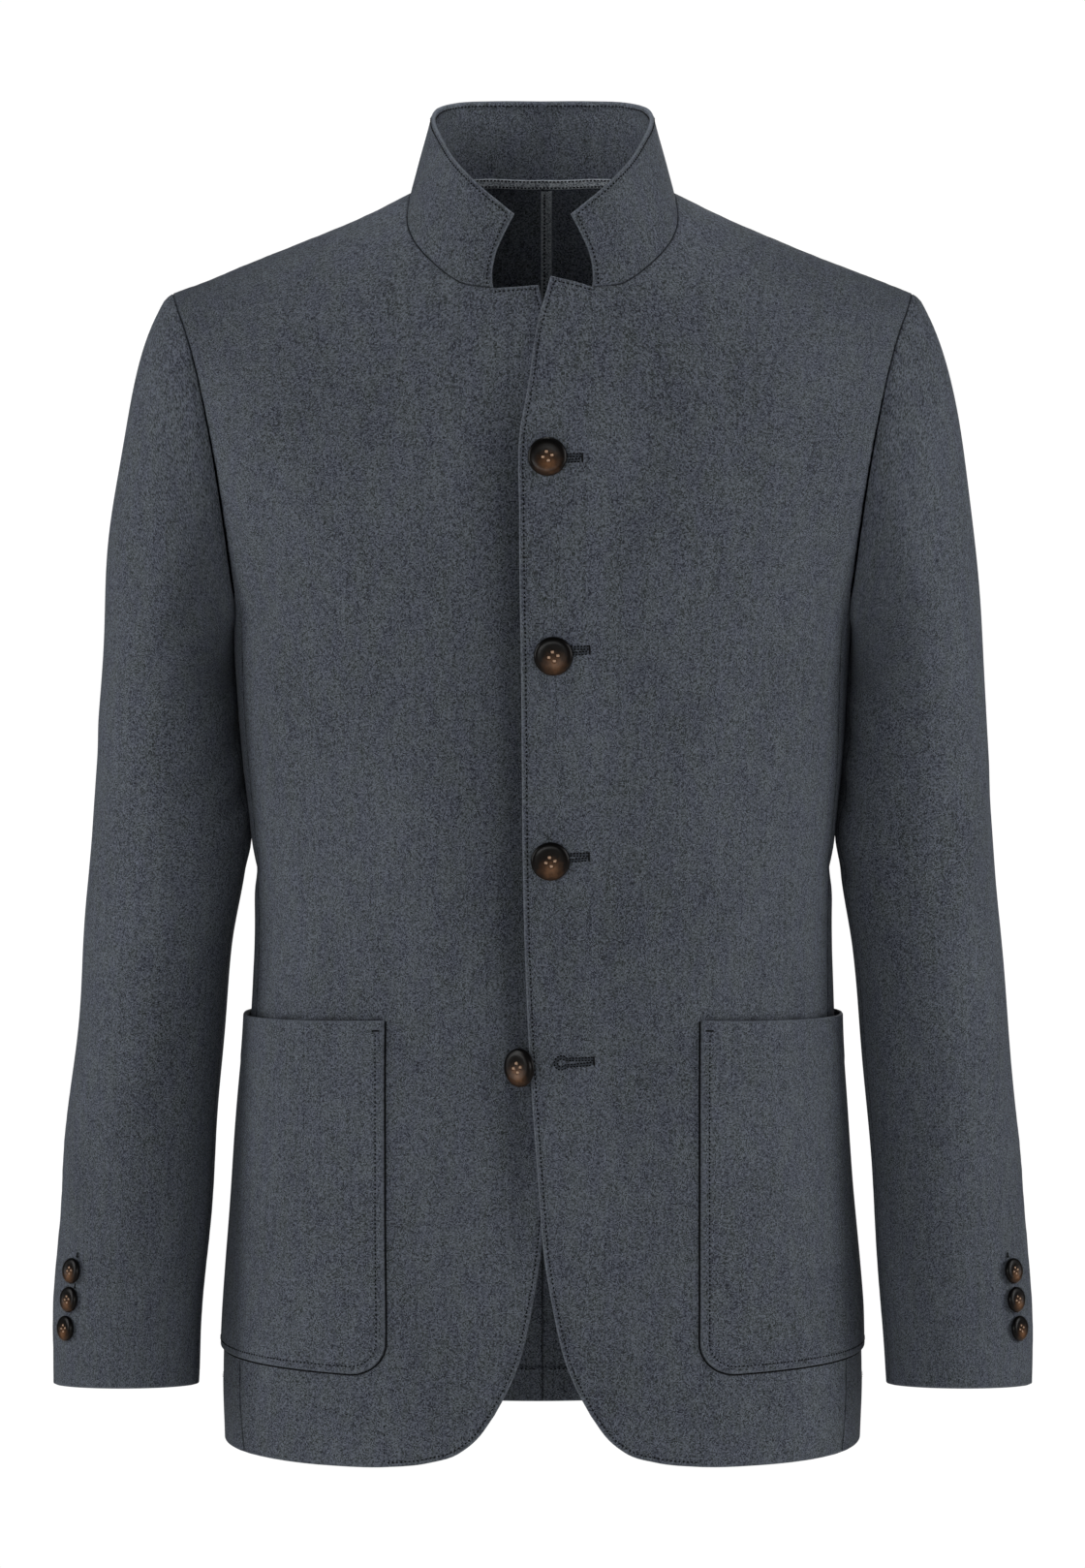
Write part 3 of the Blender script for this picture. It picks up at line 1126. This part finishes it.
def buildTape(name, stitchName, node, path, normals, run, half, shift, rows, spacing=None):
    # A tape inside the body along a path, run across it by half its width to either side. Its
    # edges roll over, and it is sewn on in rows at these distances from its middle.
    across = half * np.array(tapes["columns"])
    away = half - np.abs(across)
    out = tapes["thick"] + edgeRoll(away, 0.0006) - 0.00018 * bell(away - tapes["row"], 0.0004)
    middle = path + run * across[:, None, None]
    outer, inner = middle - normals * out[:, None, None], middle - normals * 0.0001
    worn = np.broadcast_to(wearAt(away)[:, None], outer.shape[:2])
    mesh = shellMesh(name, [(outer, inner, gridCoords(outer, shift), worn)], tapeMaterial, True)
    top = path - normals * tapes["thick"]
    sewn = [stitchRow(top + run * row, -normals, spacing, tapes["stitchLength"]) for row in rows]
    return addPiece(name, mesh, [node]), addStitches(stitchName, sewn, seamThread)


def buildNeckTape():
    # over the neck seam inside the back, from shoulder seam to shoulder seam
    length = reachOf(neckPath)
    share = np.linspace(length[138] / length[-1], 1, 46)       # the neck's row at the shoulder, to the centre
    normals = collarFace(share, 0.10)[2]
    run = unit(collarBase(share, 0.3) - collarBase(share, 0.0))
    low = collarBase(share, 0.0) - normals * (collar["wall"] + tapes["neckGap"])
    path, normals, run = (bothHalves(half[None])[0] for half in (low, normals, run))
    half = tapes["neckHeight"] / 2
    row = half - tapes["row"]
    return buildTape("neckTape", "neckTapeStitches", "neck_tape", path, normals, run, half, 6.2,
                     (-row, row), 0.0024)


def buildBinding():
    # over the centre back seam inside, from the neck tape down to the hips
    low = (tapes["bindingEnd"] - body["armpitZ"]) / (body["armpitZ"] - body["hemZ"])
    centre, normals = skin(columns(180.0, np.linspace(low, tapes["bindingTop"], 150)))
    centre = dipped(centre - normals * (panels["wall"] + 0.0009)) + (tapes["bindingShift"], 0, 0)
    run = np.tile((1.0, 0.0, 0.0), (len(centre), 1))
    return buildTape("backSeamBinding", "bindingStitches", "back_seam_binding", centre, normals, run,
                     tapes["bindingWidth"] / 2, 7.9, [-tapes["bindingRow"]])


cloths["collar"] = buildCollar()
collarRows = collarStitches()
neckTape, neckTapeRows = buildNeckTape()
binding, bindingRows = buildBinding()
print("collar, tape and binding made")


# ---- patch pockets

pocket = {
    "top": -0.4880, "bottom": -0.7000, "mouthFall": 0.0105, "innerX": 0.0935, "outerTurn": 101.0,
    "corner": 0.020, "width": 0.195, "lift": 0.0003, "wall": 0.0017,
    "bag": 0.0042, "bagBottom": 0.04, "bagSides": 0.38,
    "row": 0.0045,      # the stitch row's distance from the edge
    "foot": 0.0006,     # how far the inner face spreads at the sewn edge
    "slip": 0.0007,     # the slip stitches that hold the edge lie this far outside it
    "mouthShade": 1.0,
    "mouthHem": 0.030, "flat": (0.207, 0.245, 0.0411),
}


pocketHeight = pocket["top"] - pocket["bottom"]


def pocketLine(out, top):
    # round the U of the sewn edge in flat measure, this far outside it, from the inner mouth corner
    corner, width = pocket["corner"], pocket["width"]
    turn = np.radians(np.linspace(0, 90, 24))
    arc = corner - (corner + out) * columns(np.cos(turn), np.sin(turn))
    return np.concatenate([[(-out, top)], arc, (width, 0) + arc[::-1] * (-1, 1), [(width + out, top)]])


pocketEdge = pocketLine(0.0, pocketHeight)


def pocketSpots(flat):
    # where a place in flat pocket measure lies on the body
    p, q = np.moveaxis(flat / (pocket["width"], pocketHeight), -1, 0)
    z = pocket["bottom"] + flat[..., 1] - pocket["mouthFall"] * p * q
    inner = spotsAt(columns(pocket["innerX"], z))
    return columns(inner[..., 0] + (pocket["outerTurn"] - inner[..., 0]) * p, inner[..., 1])


def pocketFace(flat, side):
    # the pocket's faces: it is bagged towards its mouth, whose edge waves a little
    p, q = np.moveaxis(flat / (pocket["width"], pocketHeight), -1, 0)
    points, normals = skin(pocketSpots(flat), side)
    opened = pocket["bagBottom"] + (1 - pocket["bagBottom"]) * q ** 1.3
    phase = 0.6 if side == "left" else 2.2
    across = np.clip(np.sin(np.pi * p), 0, 1)
    bag = pocket["bag"] * opened * across ** pocket["bagSides"]
    bag = bag * (0.86 + 0.14 * np.sin(2 * np.pi * p * 1.7 + phase))
    soft = 0.0005 * np.sin(p * 9 + phase) * np.sin(q * 8 + phase) * across * (1 - q) * 2
    away, place = fromLine(flat, pocketEdge)
    mouth, off = pocketHeight - flat[..., 1], away - pocket["row"]
    seam = 0.00014 * pucker(place, 0.0074, 0.021, phase) * bell(off, 0.005) - 0.00030 * bell(off, 0.0007)
    fold = 0.00030 * eased((pocket["mouthHem"] - mouth) / 0.003)
    thick = pocket["wall"] + edgeRoll(away, 0.0011) + edgeRoll(mouth) + fold + seam
    stand = pocket["lift"] + bag + soft * eased(away / 0.03)
    inner = stand - edgeRoll(mouth) * 0.6 * eased(away / 0.004)
    faces = wall(points, normals, stand + np.maximum(thick, 0.0002), -inner)
    return *faces, normals, np.minimum(away, mouth)


def pocketGrid():
    # its four sides as one patch in flat measure, each lower corner halved at 45 degrees
    corner, width = pocket["corner"], pocket["width"]
    turn = np.radians(np.linspace(45, 0, 10))
    arc = corner * (1 - columns(np.cos(turn), np.sin(turn)))
    u, w = parts(0.185), parts(pocketHeight - 0.006)
    left = spaced(np.concatenate([arc, [(0, pocketHeight)]]), w)
    lower = np.concatenate([arc[:, ::-1], ((width, 0) + arc[:, ::-1] * (-1, 1))[::-1]])
    return patch(left, (width, 0) + left * (-1, 1), spaced(lower, u), columns(u * width, pocketHeight), u, w)


def buildPocket(side):
    # the foot of its sewn edge spreads a little and lies in the dark of the seam
    flat = pocketGrid()
    outer, inner, _, away = pocketFace(flat, side)
    coords = flat + ((0.9, 0.4) if side == "left" else (2.9, 1.2))
    foot = np.zeros(flat.shape[:2], bool)
    foot[0] = foot[:, 0] = foot[:, -1] = True
    reachOut = np.zeros_like(outer)
    for rim, beside in ((np.s_[0], np.s_[1]), (np.s_[:, 0], np.s_[:, 1]), (np.s_[:, -1], np.s_[:, -2])):
        reachOut[rim] = unit(outer[rim] - outer[beside]) * pocket["foot"]
    worn = np.where(foot, 0.4, wearAt(away))
    foot[-1] = True
    name = "pocket" + side.capitalize()
    mesh = shellMesh(name, [(outer, inner + reachOut, coords, worn, np.where(foot, -1.0, 0.0))],
                     clothMaterial, side == "right")
    return addPiece(name, mesh, ["pocket_" + side])


def pocketStitches(side):
    # a row inside the sewn edge, slip stitches at its foot, and a bar tack across the top of each end
    row = spaced(pocketLine(-pocket["row"], pocketHeight - 0.008), np.linspace(0, 1, 500))
    outer, _, normals, _ = pocketFace(row, side)
    rows = [stitchRow(outer, normals)]
    foot = spaced(pocketLine(pocket["slip"], pocketHeight - 0.001), np.linspace(0, 1, 700))
    points, normals = skin(pocketSpots(foot), side)
    rows.append(stitchRow(points + normals * 0.0003, normals, spacing=0.0024, length=0.0030, radius=0.00042))
    for x in (pocket["row"], pocket["width"] - pocket["row"]):
        bar = columns(np.linspace(x - 0.0025, x + 0.0025, 12), pocketHeight - 0.006)
        outer, _, normals, _ = pocketFace(bar, side)
        rows.append(stitchRow(outer, normals, spacing=0.0006, length=0.0012, radius=0.00028, across=True))
    return addStitches(f"pocket{side.capitalize()}Stitches", rows, seamThread)


def darkenMouth(side):
    # the cloth just behind the open mouth lies in its shade: from the mouth's line down, fading
    # out above it
    flat = columns(np.linspace(0.007, pocket["width"] - 0.003, 120), pocketHeight)
    mouth, _ = skin(pocketSpots(flat), side)
    for kind in ("front", "side"):
        mesh = cloths[kind, side].data
        points = np.empty(len(mesh.vertices) * 3, np.float32)
        worn = np.empty(len(mesh.vertices), np.float32)
        mesh.vertices.foreach_get("co", points)
        mesh.attributes["worn"].data.foreach_get("value", worn)
        points = points.reshape(-1, 3)
        far = np.hypot(*(points[:, None, :2] - mouth[None, :, :2]).transpose(2, 0, 1))
        under = mouth[far.argmin(1), 2] - points[:, 2]
        shade = (eased((under + 0.0024) / 0.0048) * eased((0.030 - under) / 0.010)
                 * eased((0.0060 - far.min(1)) / 0.0025))
        worn = (worn - pocket["mouthShade"] * shade).astype(np.float32)
        mesh.attributes["worn"].data.foreach_set("value", worn)


for side in ("left", "right"):
    cloths["pocket", side] = buildPocket(side)
    pocketStitches(side)
    darkenMouth(side)
print("pockets made")


# ---- edge and hem stitches, buttonholes

def frontRow(side, points):
    # a path given as (across, z) on a front, on its outer face
    outer, _, normals, _ = frontFace(spotsAt(points), side)
    return outer, normals


def frontStitches(side):
    # along the open edge from the collar to the facing's end, then up it and along the hem
    path = fronts[side]["sewnPath"]
    inward = np.cross(normalsAt(fronts[side]["sewn"]), unit(np.gradient(path, axis=0)))
    shifted = path + inward * edges["stitched"]
    kept = (path[:, 0] < panels["facing"]) & (fromLine(shifted, path)[0] > edges["stitched"] * 0.97)
    rows = [stitchRow(*frontRow(side, shifted[kept][:, (0, 2)]))]
    x, top = panels["facing"], body["hemZ"] + panels["hemDepth"]
    upright = columns(x, np.linspace(top - 0.009, body["hemZ"] + 0.003, 20))
    hem = columns(np.linspace(x, 0.1790, 60), np.linspace(-0.7280, -0.7150, 60))
    for points, spacing in ((upright, 0.0052), (hem, 0.0070)):
        rows.append(stitchRow(*frontRow(side, points), spacing=spacing, length=0.0016, radius=0.00030))
    return addStitches(f"front{side.capitalize()}Stitches", rows, seamThread)


def backHemStitches(side):
    # the hem's small stitches round the side and the back, and the row inside along its turn-up
    turns = np.linspace(cut["seams"][0][1] + 1, 179.6, 200)
    rows = []
    for rise, out, spacing, radius in ((panels["hemDepth"], 0.0002, 0.0070, 0.00026),
                                       (panels["turnUp"] - 0.0012, -0.0027, 0.0026, 0.00040)):
        points, normals = skin(columns(turns, rise / (body["armpitZ"] - body["hemZ"]) - 1), side)
        path = dipped(points + normals * out)
        rows.append(stitchRow(path, normals * np.sign(out), spacing, 0.0014, radius))
    return addStitches(f"hemStitches{side.capitalize()}", rows, seamThread)


hole = {
    "places": ((0.0039, -0.1557), (0.0082, -0.2672), (0.0079, -0.3893), (0.0110, -0.5112)),
    "length": 0.0190, "rise": 0.035, "middle": 0.0014, "eyelet": 0.0032,
    "purl": 0.0019, "spacing": 0.00095, "radius": 0.00036,
    # the darker gimp thread beside the purl: how far to either side of it, and its stitches
    "gimp": 0.0009, "gimpSpacing": 0.0019, "gimpLength": 0.0015, "gimpRadius": 0.00050,
    "barLength": 0.0064, "barRadius": 0.00058,
}


def buttonhole(number, x, z):
    # A keyhole: purl stitches down both lips and round the eyelet, each across the lip, between
    # an outer and an inner line of gimp, with a bar tack at the far end
    turn = np.radians(np.linspace(38, 322, 60))

    def laid(flat):
        # the hole's own places, which slope a little, on the front
        return frontRow("left", columns(x + flat[..., 0], z + flat[..., 1] + hole["rise"] * flat[..., 0]))

    def lips(out):
        # the line down both lips and round the eyelet, this far out from its edge
        eyelet = (hole["eyelet"] + out) * columns(np.cos(turn), np.sin(turn))
        high = hole["middle"] + out
        path = np.concatenate([[(hole["length"], high)], eyelet, [(hole["length"], -high)]])
        return laid(spaced(path, np.linspace(0, 1, 260)))

    purl = [stitchRow(*lips(0.0), hole["spacing"], hole["purl"], hole["radius"], across=True)]
    gimp = [stitchRow(*lips(out), hole["gimpSpacing"], hole["gimpLength"], hole["gimpRadius"])
            for out in (hole["gimp"], -hole["gimp"])]
    ends = columns(np.linspace(hole["length"] - 0.0006, hole["length"] + 0.0012, 8), 0.0)
    gimp.append(stitchRow(*laid(ends), 0.0018, hole["barLength"], hole["barRadius"], across=True))
    return [addStitches(f"buttonhole{number}", purl, holeThread),
            addStitches(f"buttonhole{number}Gimp", gimp, seamThread)]


frontRows = {side: [frontStitches(side), backHemStitches(side)] for side in ("left", "right")}
holes = [piece for number, place in enumerate(hole["places"], 1) for piece in buttonhole(number, *place)]
print("stitches and buttonholes made")


# ---- buttons

button = {
    # radius and height in parts of the radius and of the thickness, from the middle of the top
    "profile": [
        (0.00, 0.90), (0.20, 0.905), (0.38, 0.925), (0.54, 0.955), (0.68, 0.960), (0.80, 0.915),
        (0.91, 0.80), (0.98, 0.62), (1.00, 0.44), (0.97, 0.22), (0.86, 0.05), (0.70, 0.00), (0.00, 0.00)],
    "front": {"radius": 0.0115, "thick": 0.0048, "holeRadius": 0.00115, "holeCircle": 0.0027},
    "cuff": {"radius": 0.0077, "thick": 0.0036, "holeRadius": 0.00080, "holeCircle": 0.0019},
    "holeTurn": 12.0, "wellDepth": 0.0022, "around": 96,
    "frontPlaces": ((0.0027, -0.1547), (0.0063, -0.2697), (0.0046, -0.3908)),
    "loosePlace": (-0.0150, -0.5135), "looseTilt": 40.0, "looseStand": 0.0101, "looseSink": 0.0045,
    "cuffHeights": (-0.6500, -0.6672, -0.6845), "cuffTurns": (45.0, 44.0, 41.0), "cuffStand": 0.0006,
    "stand": 0.0004,
}


def facing(point, normal, stand):
    # a place and axes that set +Z along the normal, stood off the point
    normal = unit(np.asarray(normal, float))
    side = unit(np.cross((0, 0, 1), normal))
    return np.asarray(point) + normal * stand, np.stack([side, np.cross(normal, side), normal])


def wellPlaces(size):
    # the middles of a button's four wells
    angles = np.radians(90 * np.arange(4) + button["holeTurn"])
    return size["holeCircle"] * columns(np.cos(angles), np.sin(angles))


def buttonMesh(name, size, place, axes):
    # a profile turned round the axis, with four wells sunk smoothly into its top
    profile = np.array(button["profile"]) * (size["radius"], size["thick"])
    reach = reachOf(profile)
    top = np.linspace(0.0003, 0.45, 30) * size["radius"]
    inner, start = (np.interp(far, profile[:6, 0], reach[:6]) for far in (top, 0.47 * size["radius"]))
    at = np.concatenate([inner, np.linspace(start, reach[-1] - 0.0004, 44)])
    r, h = (smooth(at, reach, column) for column in profile.T)
    turn = np.arange(button["around"]) * 2 * np.pi / button["around"]
    x, y = r[:, None] * np.cos(turn), r[:, None] * np.sin(turn)
    z = np.repeat(h[:, None], len(turn), axis=1)
    upper = (at < reach[5])[:, None]
    for hx, hy in wellPlaces(size):
        far = np.hypot(x - hx, y - hy)
        z -= button["wellDepth"] * upper * eased((size["holeRadius"] + 0.00014 - far) / 0.00034)
    count = x.size
    points = columns(x, y, z).reshape(-1, 3)
    points = np.concatenate([points, [(0, 0, h[0]), (0, 0, h[-1])]])
    index = np.arange(count).reshape(x.shape)
    index = np.append(index, index[:, :1], axis=1)
    caps = columns(count, index[0, :-1], index[0, 1:])
    lower = columns(count + 1, index[-1, 1:], index[-1, :-1])
    coords = points[:, :2] / size["radius"]
    return makeMesh(name, place + points @ axes, [quads(index)[:, ::-1], caps, lower], hornFinish, coords)


def addButton(name, node, size, place, axes):
    # a button, and the thread that dives into its four wells
    addPiece(name, buttonMesh(name, size, place, axes), [node])
    wells = np.append(wellPlaces(size), np.full((4, 1), size["thick"] * 0.90 - 0.0006), axis=1) @ axes + place
    ends = stitches(wells, np.tile(axes[0], (4, 1)), np.tile(axes[2], (4, 1)),
                    size["holeRadius"] * 1.9, size["holeRadius"] * 0.85)
    addStitches(name + "Thread", [ends], buttonThread)


def onSleeve(z, turn, end):
    # places on a sleeve below the biceps, and the directions out of it
    here = sleeveRing(z, turn)
    normals = unit(np.cross(sleeveRing(z, turn - 1) - here, sleeveRing(z + 0.001, turn) - here))
    return here * flips[end], normals * flips[end]


def buildButtons():
    # three done up, the fourth tilted on its shank beside its hole, and three on each cuff
    for number, (x, z) in enumerate(button["frontPlaces"], 1):
        spot = spotsAt((x, z))
        place, axes = facing(torso(spot), normalsAt(spot), lap["lift"] + button["stand"])
        addButton(f"frontButton{number}", f"button_front_{number}", button["front"], place, axes)
    spot = spotsAt(button["loosePlace"])
    here, normal = torso(spot), normalsAt(spot)
    tilt = -np.radians(button["looseTilt"])
    turned = np.array([[np.cos(tilt), -np.sin(tilt), 0], [np.sin(tilt), np.cos(tilt), 0], [0, 0, 1]]) @ normal
    place, axes = facing(here + normal * button["looseStand"], turned, -button["looseSink"])
    addButton("frontButton4", "button_front_4", button["front"], place, axes)
    for end in ("left", "right"):
        for number, (z, turn) in enumerate(zip(button["cuffHeights"], button["cuffTurns"]), 1):
            place, axes = facing(*onSleeve(z, turn, end), button["cuffStand"])
            addButton(f"cuffButton{end.capitalize()}{number}", f"button_cuff_{end}_{number}",
                      button["cuff"], place, axes)


def cuffMarks(end):
    # the ends of the worked holes that show above the top cuff button and between the first two
    high, rows = button["cuffHeights"], []
    spans = [(high[0] + 0.0080, high[0] + 0.0126)]
    if end == "right":
        spans.append((high[1] + 0.0068, high[1] + 0.0100))
    for low, top in spans:
        here, normals = onSleeve(np.linspace(low, top, 12), button["cuffTurns"][0] + 3.0, end)
        path = here + normals * 0.0003
        rows.append(stitchRow(path, normals, spacing=0.0016, length=0.0019, radius=0.00045))
        rows.append(stitchRow(path[:6], normals[:6], 0.0011, 0.0028, 0.00030, across=True))
    return addStitches(f"cuffHoles{end.capitalize()}", rows, seamThread)


buildButtons()
cuffRows = {end: cuffMarks(end) for end in ("left", "right")}
print("buttons made")


# ---- what each cloth was cut to

print("sheets declared")


# ---- camera, light and floor

studio = {
    "distance": 4.2, "elevation": 5.0, "target": (0.0, 0.0, -0.358), "lens": 158.9, "floorZ": -1.45,
    "ambient": 0.08, "white": 1.02,
    # power, place, target, width and height of each softbox
    "lamps": {
        "left": (31.0, (-2.58, -0.40, 0.35), (0, 0, -0.1), (0.9, 2.0)),
        "right": (31.0, (2.58, -0.40, 0.35), (0, 0, -0.1), (0.9, 2.0)),
        "rightAhead": (8.0, (2.4, -1.5, 0.35), (0, 0, -0.2), (0.9, 2.0)),
        "front": (26.0, (0, -4.6, 0.15), (0, 0, -0.3), (1.6, 1.2)),
        "frontLeft": (47.0, (-1.6, -4.6, 0.15), (0, 0, -0.3), (1.6, 1.2)),
        "neck": (0.40, (0, -0.03, 0.26), (0, 0.06, -0.02), (0.1, 0.1)),
        "behind": (60.0, (0.6, 4.6, 0.5), (0, 0, -0.3), (1.6, 1.2))},
}


def aimed(name, data, place, target):
    # a camera or a lamp at a place, looking at its target
    thing = bpy.data.objects.new(name, data)
    bpy.context.scene.collection.objects.link(thing)
    thing.location = place
    thing.rotation_euler = (Vector(target) - Vector(place)).to_track_quat("-Z", "Y").to_euler()
    return thing


def shownWhite(tree, lit, kind, output):
    # the camera sees plain white, while other rays meet the lit shader
    white = add(tree, kind, {"Color": (1, 1, 1, 1), "Strength": studio["white"]})
    mix = add(tree, "MixShader", (add(tree, "LightPath", out="Is Camera Ray"), lit.outputs[0], white))
    tree.links.new(mix, tree.nodes[output].inputs[0])


def setStudio():
    # the camera, the pale surroundings, the softboxes and the floor
    scene = bpy.context.scene
    tilt, target = np.radians(studio["elevation"]), Vector(studio["target"])
    camera = bpy.data.cameras.new("camera")
    camera.lens, camera.sensor_width, camera.sensor_fit = studio["lens"], 36.0, "AUTO"
    camera.clip_end = 50.0
    place = target + Vector((0, -np.cos(tilt), np.sin(tilt))) * studio["distance"]
    scene.camera = aimed("camera", camera, place, target)
    world = bpy.data.worlds.new("paleStudio")
    scene.world = world
    world.use_nodes = True
    back = world.node_tree.nodes["Background"]
    back.inputs["Color"].default_value = (1, 1, 1, 1)
    back.inputs["Strength"].default_value = studio["ambient"]
    shownWhite(world.node_tree, back, "Background", "World Output")
    for name, (power, place, target, size) in studio["lamps"].items():
        lamp = bpy.data.lights.new(name + "Softbox", "AREA")
        lamp.shape, lamp.size, lamp.size_y, lamp.energy = "RECTANGLE", *size, power
        aimed(name + "Softbox", lamp, place, target).visible_camera = False
    points = np.array([(-9, -9, 0), (9, -9, 0), (9, 9, 0), (-9, 9, 0)], float) + (0, 0, studio["floorZ"])
    # painted board, pale and dull
    made, tree, shader = newMaterial("matWhiteStudioFloor", {
        "Roughness": 0.9, "IOR": 1.5, "Base Color": fromHex("#EDEDEB")})
    shownWhite(tree, shader, "Emission", "Material Output")
    floor = bpy.data.objects.new("floor", makeMesh("floor", points, [np.array([(0, 1, 2, 3)])], made))
    scene.collection.objects.link(floor)
    scene.view_settings.view_transform = "Standard"
    scene.view_settings.look = "None"


setStudio()
print("size written")
